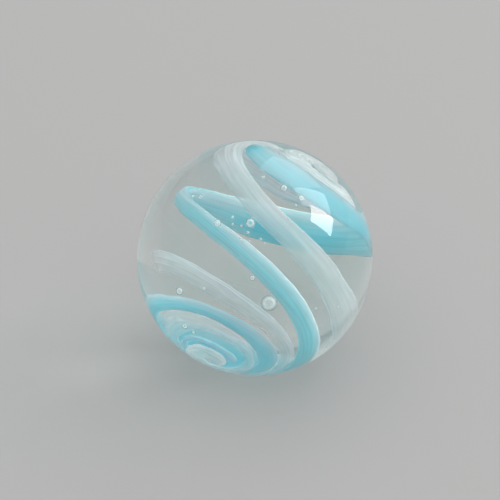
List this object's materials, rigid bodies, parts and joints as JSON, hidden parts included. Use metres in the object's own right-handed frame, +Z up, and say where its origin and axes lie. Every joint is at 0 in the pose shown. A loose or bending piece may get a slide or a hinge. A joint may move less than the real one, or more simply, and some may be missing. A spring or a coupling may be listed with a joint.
{
  "type": "glass marble",
  "caption": "Clear glass ball with a sky blue and an opal white ribbon swirled inside it from pole to pole, and small round air bubbles.",
  "frame": {"origin": "centre of the ball", "axes": "+Z up as the marble rests on a level surface; the pole where the ribbons start points down and towards -X -Y"},
  "size_m": [0.02, 0.02, 0.02],
  "materials": {
    "clear_glass": "polished clear glass, very slightly green",
    "blue_glass": "sky blue glass sealed in the clear glass, slightly see-through",
    "white_glass": "milky opal glass sealed in the clear glass"
  },
  "bodies": {
    "root": {"clear_glass": "clear_glass", "blue_ribbon": "blue_glass", "white_ribbon": "white_glass"}
  },
  "joints": []
}
